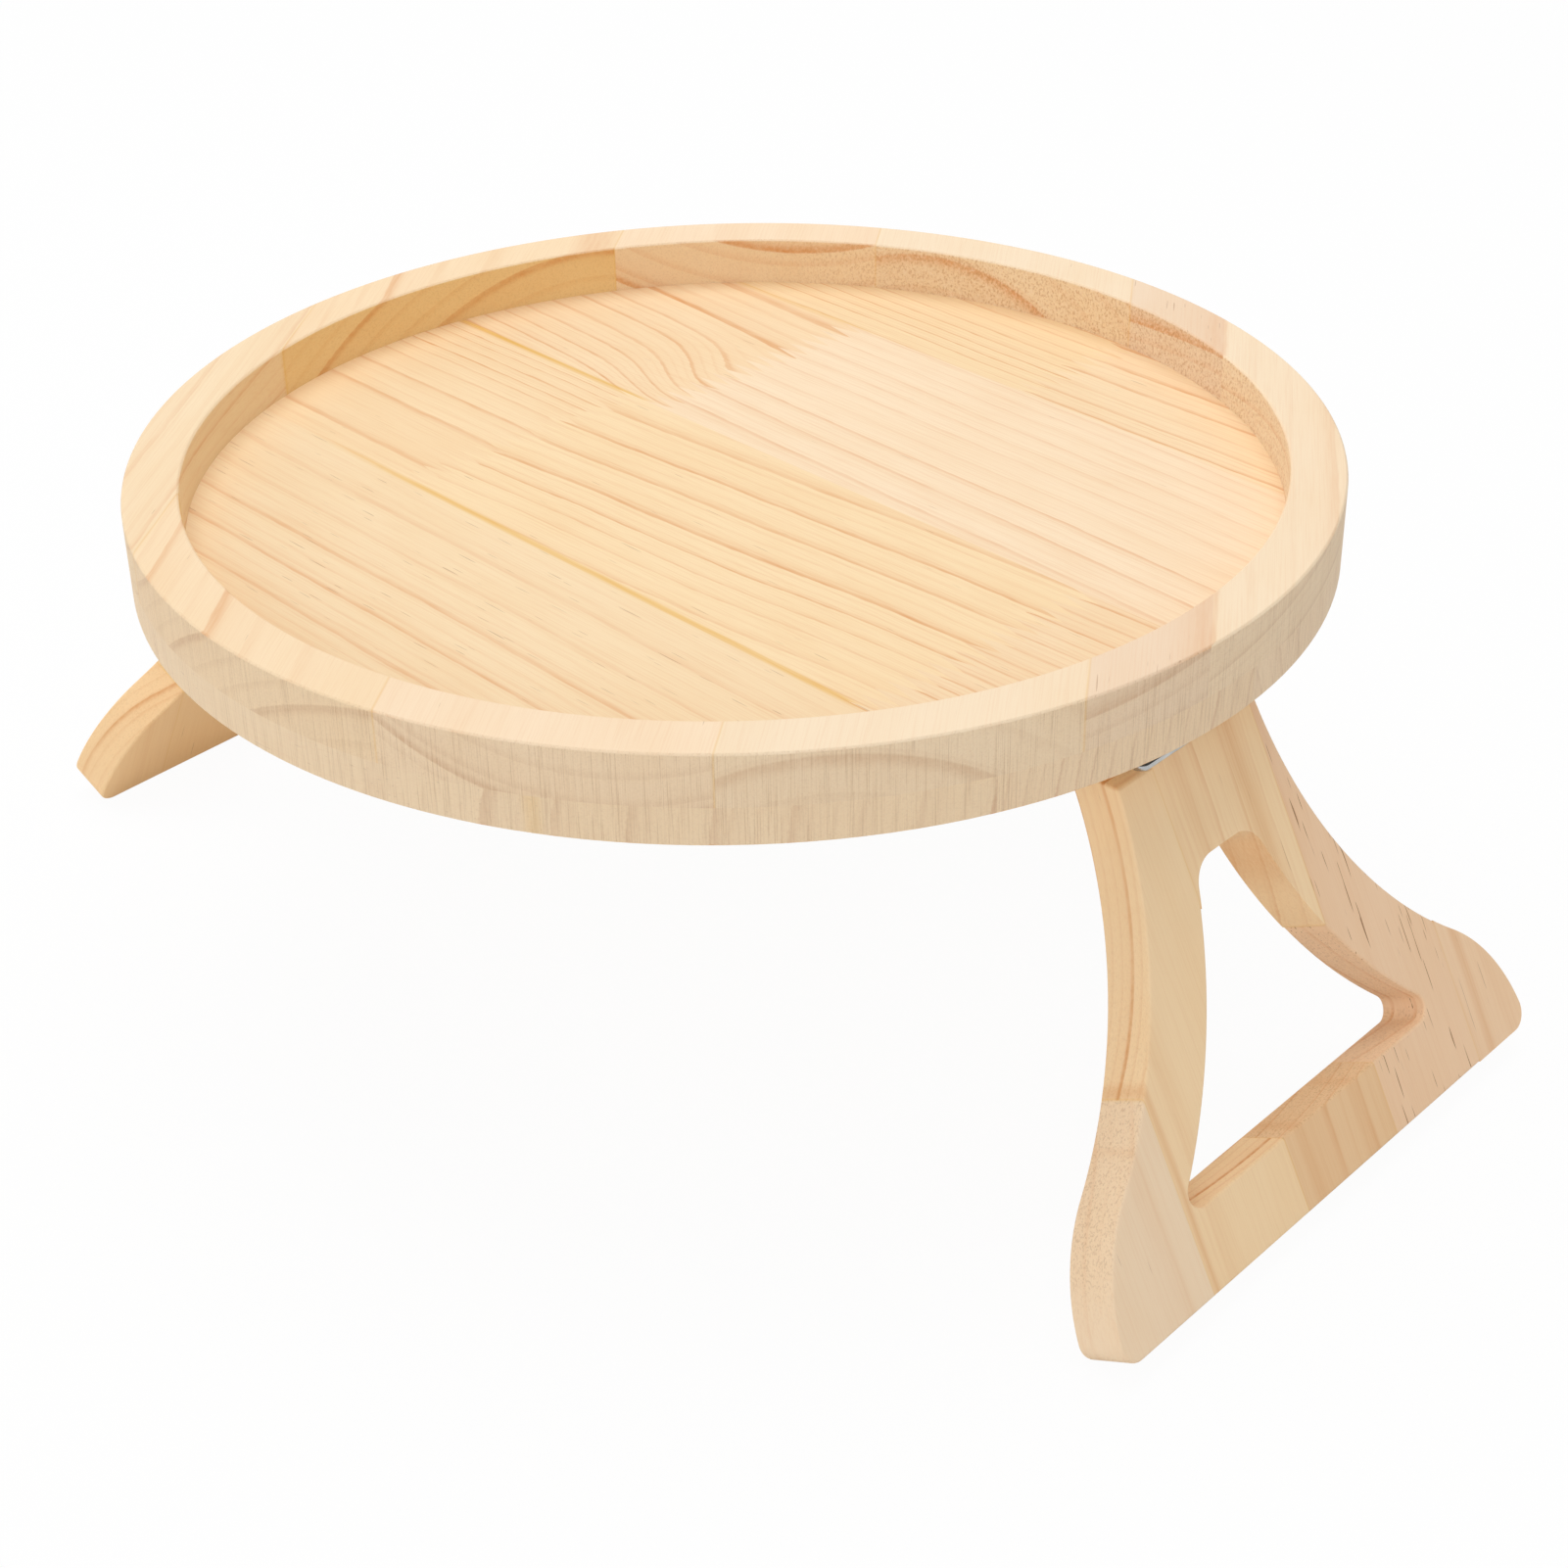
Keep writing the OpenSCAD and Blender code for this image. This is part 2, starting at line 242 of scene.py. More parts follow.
def rgb(text):
    """A colour as it is seen on a screen, such as "f3dcb8", made linear for the renderer."""
    steps = [int(text[k:k + 2], 16) / 255 for k in (0, 2, 4)]
    return (*[s / 12.92 if s <= 0.04045 else ((s + 0.055) / 1.055) ** 2.4 for s in steps], 1.0)


print("a shader language of", len([n for n in vars(Signal) if not n.startswith("_")]), "named signal methods")

# %% [markdown]
# ## Pine, cut from a log
#
# Boards look the way they do because a plane cuts through a stack of nested tubes: the growth rings. Painting
# stripes never looks right at the corners, where the stripe on the face must meet the arc on the end. So this
# finish is solid: every point of a board is given its distance from the pith of an imagined log, and the ring
# it lies in follows from that. Faces, edges and ends then agree by themselves.
#
# A `Log` says where the board lay in its tree. `grain` runs along the trunk, and `side` and `up` lie across
# it. A tree adds about the same area of wood each year, so its rings get thinner outwards, and the lines of a
# board crowd together towards one side, as they do on real boards. Lengths are in millimetres, counted from
# `centre`, which is itself a point of the scene, in metres.

# %% Describe a log
class Log:
    """A board's place in its tree, and how its wood looks.

    pith is how far the centre lay from the middle of the tree, along side and up. area is the wood that the
    tree added each year, in square millimetres. wood is the colour of its spring wood, late is how dark its
    rings are, and seed gives it chances of its own.
    """

    lean = 0.0       # how much pith's first number grows with each millimetre along the trunk
    climb = 0.0      # the same for its second number
    shift = 0.0      # years added to the count, which draws all the rings towards the pith
    wander = 1.0     # how far the trunk bends and ripples
    thin = 1.0       # how wide the dark line is that ends a year
    even = 0.3       # how alike the years are: at 1 all are equally dark
    ends = 0.9       # how much darker the rings are where a face cuts the fibres
    quiet_top = 0.0  # how much they fade on a face that looks up
    fibres = 1.0     # how strongly single fibres show
    dashes = 0.0     # how common the dashes of resin canals are
    dark = 0.4       # how dark those dashes are
    inside = 0.0     # how golden the wood is on the inner wall of the rim
    bands = ()       # streaks of heart: for each its place along side, half-width and strength
    knot = None      # a knot's place along grain and side, its reach in both, and how far it pushes the rings
    spot = None      # a small knot's place along grain, side and up, and its radius

    def __init__(self, grain, side, up, centre, pith, area, wood, late, seed, **facts):
        self.grain, self.side, self.up, self.centre = grain, side, up, centre
        self.pith, self.area, self.wood, self.late, self.seed = pith, area, wood, late, seed
        for name, value in facts.items():
            setattr(self, name, value)


print("a log may also have:", ", ".join(name for name in vars(Log) if not name.startswith("_")))

# %% [markdown]
# ## Wood colours
#
# A log's own `wood` is the pale part of its rings. These are laid over it, mostly thinly, so each of them is
# stronger than it looks on the board.

# %% Name the colours
DEEP = (0.955, 0.89, 0.80, 1)  # multiplied over clouds of slightly deeper wood
LATE = rgb("dc9a5e")           # late summer's line
DUSTY = rgb("8f7350")          # the same line under sanding dust
HEART = rgb("dd9f63")
KNOT = rgb("cf7f4c")
END_GRAIN = rgb("eed6b2")
PIT = rgb("a6774a")            # an open pore
TORN_PIT_AND_SHADE = rgb("bd8450")            # a pit where a cutter tore the fibres, darker partly by painted shade
DASH = rgb("93633c")
GLUE = rgb("e6b450")
INSIDE = rgb("f7e9b6")         # multiplied over the rim's inner wall
PALE_DUST_AND_HIGHLIGHT = rgb("fae5ce")         # loose, pale fibres and dust, and a painted highlight where crumbs stand up
WALL_DUST_AND_SHADE = rgb("f4eddc")           # multiplied over upright walls: dust that a belt left there, and painted shade where they face sideways
SKY = (0, 0, 1)
print("wood colours ready")

# %% [markdown]
# ## A board that knows its tree
#
# A `Board` is a finish in which every point has three lengths: `along` the trunk, and `side` and `up` across
# it. Noise that is stretched along the trunk makes everything that runs with the grain.
#
# A glued panel is one finish as well. It is given several logs side by side and the glue lines between them,
# and each fact of a log then becomes a staircase that steps at those lines.

# %% Measure a board by its log
class Board(Finish):
    """The finish of a board, or of a panel whose logs lie side by side. Its colour is painted in layers."""

    def __init__(self, name, logs, lines, is_torn, has_dust_and_wall_shade):
        super().__init__(name)
        self.logs, self.log = logs, logs[0]
        self.here, self.out = self.place(), self.facing()
        self.along, self.side, self.up = (
            self.here.dot(tuple(Vector(axis) / MM)) - self.log.centre.dot(axis) / MM
            for axis in (self.log.grain, self.log.side, self.log.up))
        self.passed = [self.side.math("GREATER_THAN", line) for line in lines]
        self.seed = self.fact("seed")
        self.colour = rgb(self.log.wood)
        for past, log in zip(self.passed, logs[1:]):
            self.paint(past, rgb(log.wood))

        # How squarely a face cuts the fibres
        self.cut = abs(self.out.dot(tuple(self.log.grain)))
        self.end = self.cut.rise(0.25, 0.85)
        # The rim's inner wall, which only a cutter has touched, and the upright outer walls, which a belt has
        # sanded and which also get a painted shade
        self.inward = (self.out.dot(self.here) / MM * -1.0).rise(20.0, 60.0) if is_torn else 0.0
        self.upright = (1 - abs(self.out.dot(SKY)).rise(0.2, 0.6)) * (1 - self.inward) if has_dust_and_wall_shade else 0.0

    def paint(self, amount, colour, blend="MIX"):
        self.colour = self.mix(amount, self.colour, colour, blend)

    def fact(self, name, index=None):
        """A number that belongs to the log, stepping from one log's to the next one's at each glue line."""
        numbers = [getattr(log, name) for log in self.logs]
        if index is not None:
            numbers = [number[index] for number in numbers]
        total = numbers[0]
        for past, before, after in zip(self.passed, numbers, numbers[1:]):
            if after != before:
                total = past * (after - before) + total
        return total

    def grained(self, long, wide, shift=0.0, lift=0.0, detail=1.0, roughness=0.5):
        """Noise in cells that are this long with the grain and this wide across it, in millimetres."""
        cells = self.vector(self.along / long + shift, self.side / wide, self.up / wide + lift)
        return self.noise(cells, detail=detail, roughness=roughness)


print("board finish ready")

# %% [markdown]
# ## Growth rings
#
# The square of the distance from the pith, divided by the area that a year adds, counts the years. What is
# left after the whole years is the season: pale in spring, darker through summer, and then a sudden stop. The
# trunk bends a little, its fibres are rough, a knot pushes the rings aside, some years are slower than others,
# and no two are equally dark.

# %% Draw the rings
def growth_rings(board, bend, ripple):
    """How dark the rings make each point, and the thin line by itself that ends each year."""
    log, seed = board.log, board.seed
    hair = board.grained(7, 0.9) - 0.5
    across = board.side + board.along * board.fact("lean") + board.fact("pith", 0)
    across = across + bend * (4.0 * log.wander) + ripple * (0.9 * log.wander) + hair * 0.7
    above = board.up + board.along * board.fact("climb") + board.fact("pith", 1)
    if log.knot:
        at_along, at_side, long, wide, push = log.knot
        away = ((board.along - at_along) / long) ** 2.0 + ((board.side - at_side) / wide) ** 2.0
        across = across + (away * -1.0).math("EXPONENT") * push

    years = (across ** 2.0 + above ** 2.0) / board.fact("area") + board.fact("shift")
    slow = board.noise(board.vector(years * 0.45, seed, 0.0), detail=0.0) - 0.5
    years = years + slow * (0.7 * log.wander)
    year = years.math("FLOOR")
    season = years - year
    strength = board.chance(year + (seed * 7.0 + 0.5)) * (1 - log.even) + log.even

    stop = 1 - 0.045 * log.thin
    summer = season.rise(0.40, stop) * (1 - season.rise(stop, 1.0))
    line = season.rise(1 - 0.19 * log.thin, stop) * (1 - season.rise(stop + 0.01 * log.thin, 1.0))
    minor = (years * 3.0 + seed * 0.37).math("FRACT")
    minor = minor.rise(0.60, 0.93) * (1 - minor.rise(0.95, 1.0))
    fade = board.grained(28, 5, seed) * 1.2 + 0.4
    broken = board.grained(9, 1.1, -4.0) * 1.1 + 0.45
    ring = (summer * 0.18 + (line * 0.76 * fade + minor * 0.24) * broken) * strength
    ring = ring * (1 - board.out.dot(SKY).rise(0.5, 0.9) * board.fact("quiet_top"))
    return ring * (board.end * log.ends + 1), line


print("growth rings ready")

# %% [markdown]
# ## What a cutter and a belt leave, and painted shade and highlight
#
# Two marks of the workshop belong to the tray alone. Inside the rim the cutter ran against the fibres and tore
# some out: dark pits with pale crumbs beside them, most of all on one side. The pits' dark is partly painted
# shade and the crumbs' pale partly painted highlight. Outside, a belt sander left fine upright scratches, and
# dust that greys the wall, and the upright walls are darkened with painted shade as well.

# %% Draw the marks of the tools
def torn_wall(board, towards):
    """Paints the rim's inner wall, torn most towards one direction, with pits partly in painted shade and
    crumbs partly in painted highlight, and gives the height of its crumbs.
    """
    board.paint(board.inward * board.fact("inside"), INSIDE, "MULTIPLY")
    grit = board.noise(board.here.scaled((1500, 1500, 1100)), detail=2.0, roughness=0.7)
    ragged = board.inward * (board.here.dot(towards) / MM).rise(60.0, 125.0)
    pit_and_shade = grit.rise(0.52, 0.62) * ragged
    crumb_and_highlight = (1 - grit.rise(0.36, 0.46)) * ragged
    # the pits' dark is their own torn wood and partly painted shade, the crumbs' pale their own fibres and
    # partly painted highlight
    board.paint(pit_and_shade * 0.42, TORN_PIT_AND_SHADE)
    board.paint(crumb_and_highlight * 0.35, PALE_DUST_AND_HIGHLIGHT)
    return (crumb_and_highlight - pit_and_shade) * 0.4


def dust_and_shade_walls(board, pale_wood, amount):
    """Paints dust, upright scratches and a painted shade on the walls, and gives the height of the scratches.
    """
    marks = board.noise(board.here.scaled((3400, 3400, 45)), detail=2.0, roughness=0.75)
    dark = marks.rise(0.50, 0.72) * board.upright
    pale = (1 - marks.rise(0.28, 0.48)) * board.upright
    board.paint(board.upright * amount, PALE_DUST_AND_HIGHLIGHT)
    # painted shade: upright walls are darkened and warmed, as light from above would leave them
    board.paint(board.upright * 0.5, WALL_DUST_AND_SHADE, "MULTIPLY")
    board.paint(dark * 0.27, DASH)
    board.paint(pale * 0.40, pale_wood)
    return (pale - dark) * 0.5


print("marks of the tools ready")

# %% [markdown]
# ## The pine finish
#
# The layers are painted in the order in which they came about: first what grew, which is clouds of colour,
# rings, heart, fibres and the short dark dashes of resin canals, then what the saw, the cutter and the belt
# did, together with painted shade on the walls and in the torn pits and painted highlight on the crumbs, and
# last the glue.
#
# `worn` is how open the pores are where the saw crossed the fibres, the wall setting is how much dust lies on
# the walls, and any amount of it also paints shade on them, and `torn` is the direction in which the cutter
# tore most. `glue` lists the seams that show: a direction, a distance along it in metres, a strength and a
# half-width in millimetres, and where it matters, a second direction and the two places along it between which
# the seam shows.

# %% Mix the pine finish
def pine(name, logs, worn, lines=(), glue=(), dust_and_wall_shade=0.0, torn=None):
    board = Board(name, logs, lines, is_torn=torn is not None, has_dust_and_wall_shade=dust_and_wall_shade > 0)
    log, seed, end, pale_wood = board.log, board.seed, board.end, board.colour
    bend = board.grained(110, 70, seed) - 0.5
    ripple = board.grained(30, 11, seed * -1.0) - 0.5
    ring, line = growth_rings(board, bend, ripple)
    cloud = board.grained(50, 14, 9.0, seed, detail=2.0)
    fibre = board.grained(25, 1 / 2.2, detail=3.0, roughness=0.6)
    thread = board.grained(10, 1 / 7, 3.0, detail=2.0)
    rare = 0.86 - board.fact("dashes") * 0.10
    dash = (board.grained(1 / 0.085, 0.5, seed, detail=0.0) - rare).rise(0.0, 0.03)
    pores = board.grained(1 / 1.1, 1 / 1.9, detail=2.0, roughness=0.7).rise(0.51, 0.64)
    pores = pores * board.cut.rise(0.15, 0.6) * worn

    board.paint(cloud.rise(0.3, 0.75) * 0.35, DEEP, "MULTIPLY")
    board.paint(end * (0.22 * worn), END_GRAIN)
    drawn = ring * board.fact("late")
    if dust_and_wall_shade:
        board.paint(drawn * board.upright * 0.45, DUSTY)
        drawn = drawn * (1 - board.upright * 0.55)
    board.paint(drawn, LATE)
    for at, wide, amount in log.bands:
        near = 1 - (abs(board.side + bend * 3.0 - at) / wide).rise(0.0, 1.0)
        board.paint(near * (fibre * 0.8 + 0.5) * amount, HEART)
    board.paint(fibre.rise(0.42, 0.72) * (0.17 * log.fibres), LATE)
    board.paint(thread.rise(0.55, 0.80) * (0.07 * log.fibres), DASH)
    board.paint(dash * log.dark * (1 - end), DASH)
    if log.spot:
        *middle, radius = log.spot
        offsets = [length - at for length, at in zip((board.along, board.side, board.up), middle)]
        near = (offsets[0] ** 2.0 + offsets[1] ** 2.0 + offsets[2] ** 2.0) ** 0.5
        board.paint((1 - (near + ripple * 4).rise(0.4 * radius, radius)) * 0.6, KNOT)

    height = fibre * 0.25 + thread * 0.20 - pores * 0.9 - dash * 0.3
    if torn:
        height = height + torn_wall(board, torn)
    board.paint(pores * 0.38, PIT)
    if dust_and_wall_shade:
        height = height + dust_and_shade_walls(board, pale_wood, dust_and_wall_shade)
    for direction, distance, amount, wide, *reach in glue:
        off = abs(board.here.dot(direction) - distance) / MM
        seam = 1 - off.rise(wide * 0.15, wide)
        if reach:
            way, start, stop = reach[0]
            reached = board.here.dot(way) / MM
            seam = seam * reached.rise(start, start + 60) * (1 - reached.rise(stop - 15, stop))
            seam = seam * (cloud * 1.2 + 0.4)
        board.paint(seam * (fibre * 0.8 + 0.5) * amount, GLUE)

    bump = board.node("ShaderNodeBump", None, {"Strength": 0.5, "Distance": 0.10 * MM, "Height": height})
    rough = 0.58 + fibre * 0.10 + pores * 0.15 - line * 0.05
    return board.set(base_color=board.colour, roughness=rough, normal=bump, specular_ior_level=0.3)


print("pine finish ready")

# %% [markdown]
# ## Turning a node into a board
#
# A workshop breaks every sharp edge with a sanding block. The packed nodes are loose triangles with perfectly
# sharp edges, so each board starts as a merged copy of its node, and its free edges are bevelled. The edges
# that lie on a glue line stay as they are, because the whole blank was sanded after it was glued. A weighted
# normal keeps the flat faces flat up to the bevel.

# %% Copy, ease and shade a node
WELD = 0.002 * MM
LEVEL = math.radians(0.04)
SMOOTH = math.radians(34)


def merged_copy(node):
    """A bmesh of a node's own surface, with the triangles of each flat face joined."""
    shape = bmesh.new()
    shape.from_mesh(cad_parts[node].data)
    bmesh.ops.remove_doubles(shape, verts=shape.verts, dist=WELD)
    bmesh.ops.dissolve_limit(shape, angle_limit=LEVEL, verts=shape.verts, edges=shape.edges)
    bmesh.ops.recalc_face_normals(shape, faces=shape.faces)
    return shape


def ease(shape, width, is_glued, sharper_than=28, segments=3):
    """Bevels the free edges that are sharper than so many degrees, and counts them."""
    sharp = [e for e in shape.edges
             if e.is_manifold and e.calc_face_angle() > math.radians(sharper_than) and not is_glued(e)]
    bmesh.ops.bevel(shape, geom=sharp, offset=width, offset_type="OFFSET", affect="EDGES",
                    segments=segments, profile=0.5, material=-1, clamp_overlap=True)
    return len(sharp)


def make_object(name, shape, material):
    """An object of a finished bmesh, shaded smooth. The bmesh is used up."""
    mesh = bpy.data.meshes.new(name)
    for face in shape.faces:
        face.smooth = True
    shape.to_mesh(mesh)
    shape.free()
    mesh.materials.append(material)
    made = bpy.data.objects.new(name, mesh)
    bpy.context.scene.collection.objects.link(made)
    return made


def piece(name, shape, material, body, node):
    """Makes an object of a finished bmesh, keeps its sharp edges, and lets it stand for its node."""
    made = make_object(name, shape, material)
    mesh = made.data
    # The packed mesh brings its own stored normals, which would fight with the new bevels
    if "custom_normal" in mesh.attributes:
        mesh.attributes.remove(mesh.attributes["custom_normal"])
    mesh.set_sharp_from_angle(angle=SMOOTH)
    weighted = made.modifiers.new("weighted_normal", "WEIGHTED_NORMAL")
    weighted.keep_sharp = True
    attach(made, body)
    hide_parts(node)
    return made


print("board tools ready")

# %% [markdown]
# ## The base board
#
# The board is glued from five strips, and most strips are themselves joined from shorter lengths by rows of
# long fingers. A finger joint shows on the face as a fringe, because each finger carries its own board's
# figure into the other. Both come for free here: each length is its own piece with its own log.

# %% Build the base board
GRAIN_TURN = math.radians(-4.2)
grain = Vector((math.cos(GRAIN_TURN), math.sin(GRAIN_TURN), 0))
across = Vector((-grain.y, grain.x, 0))
up = Vector((0, 0, 1))
tray_centre = Vector((0, 0, floor_z))
STRIP_LINES = [-0.1292, -0.0550, 0.0192, 0.0934]
BASE_EASE = 0.2 * MM
BROAD_SEAM = 1.6


def base_log(**facts):
    return Log(grain, across, up, tray_centre, ends=0.6, **facts)


BASE_LOGS = {
    1: base_log(pith=(-78, 25), area=3950, lean=0.008, shift=0.37, wood="f7deb8", late=0.80, dashes=0.8,
                seed=1.0),
    2: base_log(pith=(-78, 25), area=3950, lean=0.008, shift=0.37, wood="f6dcb4", late=0.75, dashes=0.85,
                seed=2.0),
    3: base_log(pith=(37, 25), area=379, shift=0.93, wood="f7dbb1", late=0.62, seed=3.0),
    4: base_log(pith=(-61, 25), area=1550, lean=-0.061, shift=0.06, wood="f8ddb2", late=0.66, dashes=0.5,
                wander=1.4, seed=4.0),
    5: base_log(pith=(-110, 25), area=1300, lean=-0.03, shift=0.3, wood="f6dbb4", late=0.75, dashes=0.4,
                seed=5.0),
    6: base_log(pith=(-116, 25), area=1150, lean=0.04, shift=0.56, wood="f7dbb3", late=0.85,
                knot=(-50, 38, 21, 22, 15), seed=6.0),
    7: base_log(pith=(29, 25), area=1340, lean=0.026, shift=0.43, wood="f9e1c0", late=0.48, seed=7.0),
    8: base_log(pith=(-182, 25), area=643, shift=0.61, wood="f7dcb1", late=0.60, seed=8.0),
    9: base_log(pith=(-179, 25), area=999, shift=0.22, wood="f7ddb6", late=0.72, dashes=0.3, seed=9.0),
}
# For each piece, the seams that show on it: which line, how strongly, and between which two places along it
SEAMS = {
    1: [(0, 0.25, -200, 200)],
    2: [(0, 0.25, -200, 200), (1, 0.68, -110, 105)],
    3: [(1, 0.68, -110, 105), (2, 0.6, -260, -50)],
    4: [(1, 0.68, -110, 105)],
    6: [(2, 0.8, -260, -50), (3, 0.3, -260, -40)],
    7: [(3, 0.4, 60, 200)],
    8: [(3, 0.3, -200, -40)],
}


def base_seams(k):
    return [(tuple(across), STRIP_LINES[row], amount, BROAD_SEAM, (tuple(grain), start, end))
            for row, amount, start, end in SEAMS.get(k, [])]


def under_the_rim(edge):
    """Only the board's lower outer edge is free: its top edge is glued under the rim."""
    outside = all(v.co.xy.length > tray_r - 1.2 * MM for v in edge.verts)
    low = all(v.co.z < under_z + 2 * MM for v in edge.verts)
    level = abs(edge.verts[0].co.z - edge.verts[1].co.z) < 0.05 * MM
    return not (outside and low and level)


for k, log in BASE_LOGS.items():
    node = f"base_strip_{k}"
    shape = merged_copy(node)
    eased = ease(shape, BASE_EASE, under_the_rim, sharper_than=20, segments=2)
    finish = pine(f"pine_base_{k}", [log], worn=0.4, glue=base_seams(k), dust_and_wall_shade=0.5)
    board = piece(f"base_board_{k}", shape, finish, "tray", node)
    print(board.name, "faces", len(board.data.polygons), "eased edges", eased)

# %% [markdown]
# ## The rim
#
# The streaks on the rim's top all run one way, at 56 degrees to the line between the legs, whichever part of
# the ring they cross. So its figure is that of one glued panel of five strips, turned against the base board's.
# Where the wall runs across the strips the rings show end on: as arches over a pith that lay below the panel
# and as bowls under one that lay above it. Heights in this panel count from the rim's top.

# %% Build the rim
RIM_TURN = math.radians(33.8)
rim_side = Vector((math.cos(RIM_TURN), math.sin(RIM_TURN), 0))
rim_grain = Vector((math.sin(RIM_TURN), -math.cos(RIM_TURN), 0))
rim_centre = Vector((0, 0, top_z))
RIM_EASE = 0.18 * MM
THIN_SEAM = 0.4
TORN_TURN = math.radians(75)
SAPWOOD_FROM = 119


def rim_log(**facts):
    return Log(rim_grain, rim_side, up, rim_centre, wander=0.5, thin=0.75, ends=0.2, even=0.7, fibres=0.7,
               **facts)


# The last two are one strip, whose rosy heart gives way to pale sapwood
RIM_LOGS = [
    rim_log(pith=(190, -60), area=1500, shift=0.2, wood="f6deba", late=0.5, quiet_top=0.3,
            inside=0.3, seed=21.0),
    rim_log(pith=(54.5, 70), area=2600, lean=-0.0538, shift=0.075, wood="f7ddb8", late=0.65, quiet_top=0.2,
            inside=0.75, seed=22.0),
    rim_log(pith=(4, -72.5), area=3592, climb=-0.03, shift=0.526, wood="f8dfbf", late=0.7, quiet_top=0.85,
            inside=0.26, seed=23.0),
    rim_log(pith=(-38.1, 60), area=3500, lean=-0.0254, shift=-0.04, wood="f7e1c2", late=0.5, quiet_top=0.9,
            inside=0.2, seed=24.0),
    rim_log(pith=(-80, -160), area=5936, shift=0.367, wood="f2dabe", late=0.7, quiet_top=0.2, dashes=1.0,
            inside=0.12, seed=25.0),
    rim_log(pith=(-80, -160), area=2968, shift=0.822, wood="f7e1c2", late=0.5, quiet_top=0.3,
            inside=0.12, seed=25.0),
]
RIM_LINES = [line / MM for line in STRIP_LINES] + [SAPWOOD_FROM]


def on_rim_joint(edge):
    """Glued edges: those across the ring at a joint, and the circle where the rim sits on the board."""
    a, b = (v.co for v in edge.verts)
    turn = abs(math.atan2(a.y, a.x) - math.atan2(b.y, b.x))
    across_ring = turn < 1e-4
    on_board = a.z < floor_z + 0.05 * MM and b.z < floor_z + 0.05 * MM
    return across_ring or on_board


rim_glue = [(tuple(rim_side), line, 0.3, THIN_SEAM) for line in STRIP_LINES]
rim_pine = pine("pine_rim", RIM_LOGS, worn=0.3, lines=RIM_LINES, glue=rim_glue, dust_and_wall_shade=0.3,
                torn=(math.cos(TORN_TURN), math.sin(TORN_TURN), 0))
for k in RIM_SEGMENTS:
    node = f"rim_segment_{k}"
    shape = merged_copy(node)
    eased = ease(shape, RIM_EASE, on_rim_joint, segments=2)
    piece(f"rim_board_{k}", shape, rim_pine, "tray", node)
print("the last of the rim's boards has", eased, "eased edges")

# %% [markdown]
# ## The legs
#
# Each leg is sawn from a board that is glued up from upright strips, so the grain runs down the leg and the
# glue lines stand upright on it. The edges are eased more than on the tray, because hands and sofas meet them.

# %% Build the legs
SPLAY = math.radians(27)
LEG_LINES = [-0.052, -0.014, 0.024, 0.062]
LEG_EASE = 0.7 * MM
LEG_WORN = {"toe_strip": 0.7, "foot_rail": 0.7, "heel_strut": 0.6}
LEG_WORN_ELSEWHERE = 0.25
LEG_FACTS = {
    ("right", "toe_strip"): dict(pith=(80, 60), area=1300, wood="f9dfbe", late=0.12,
                                 bands=[(-60, 1.5, 0.15)], spot=(128, -86, -8, 3.2)),
    ("right", "toe_strut"): dict(pith=(20, 120), area=2400, shift=0.35, wood="fcddb1", late=0.5,
                                 bands=[(-50.4, 1.9, 0.42)]),
    ("right", "head_block"): dict(pith=(70, 90), area=1500, lean=0.02, wood="fddeb2", late=0.40,
                                  bands=[(14, 5.0, 0.40), (-6, 4.0, 0.25)]),
    ("right", "foot_rail"): dict(pith=(25, 150), area=1050, lean=0.03, wood="f1cb9e", late=0.5, ends=0.2,
                                 bands=[(-8, 3.5, 0.30), (14, 4.0, 0.22)]),
    ("right", "heel_strut"): dict(pith=(-60, 120), area=1800, lean=0.02, wood="f7d4b0", late=0.30,
                                  dashes=1.15, dark=0.8),
    ("right", "heel_strip"): dict(pith=(-90, 40), area=2400, lean=-0.1, wood="f8d6b1", late=0.45, dashes=0.2,
                                  bands=[(68, 3.0, 0.35)]),
    ("left", "toe_strip"): dict(pith=(70, -60), area=1500, wood="fcdbac", late=0.3),
    ("left", "toe_strut"): dict(pith=(30, 120), area=1500, wood="fcd8a8", late=0.4),
    ("left", "head_block"): dict(pith=(60, 90), area=1500, lean=0.02, wood="fbd5a0", late=0.4),
    ("left", "foot_rail"): dict(pith=(90, 150), area=1500, wood="fbd7a6", late=0.5),
    ("left", "heel_strut"): dict(pith=(-50, 110), area=1700, wood="fad5a2", late=0.35, dashes=0.6),
    ("left", "heel_strip"): dict(pith=(-90, 60), area=1500, wood="fbd7a6", late=0.40),
}


def leg_log(way, **facts):
    down = Vector((way * math.sin(SPLAY), 0, -math.cos(SPLAY)))
    outward = Vector((way * math.cos(SPLAY), 0, math.sin(SPLAY)))
    hinge = Vector((way * pin.x, 0, pin.z))
    return Log(down, Vector((0, way, 0)), outward, hinge, fibres=0.6, **facts)


def leg_glue_test(way):
    def glued(edge):
        return any(all(abs(way * v.co.y - y) < 0.02 * MM for v in edge.verts) for y in LEG_LINES)
    return glued


for number, ((side, part), facts) in enumerate(LEG_FACTS.items()):
    way = SIDES[side]
    node = f"{side}_leg_{part}"
    shape = merged_copy(node)
    eased = ease(shape, LEG_EASE, leg_glue_test(way))
    log = leg_log(way, seed=40.0 + number, **facts)
    glue = [((0, way, 0), y, 0.25, THIN_SEAM) for y in LEG_LINES]
    finish = pine(f"pine_{node}", [log], worn=LEG_WORN.get(part, LEG_WORN_ELSEWHERE), glue=glue)
    board = piece(f"{side}_leg_{part}_board", shape, finish, f"{side}_leg", node)
    print(board.name, "faces", len(board.data.polygons), "eased edges", eased)

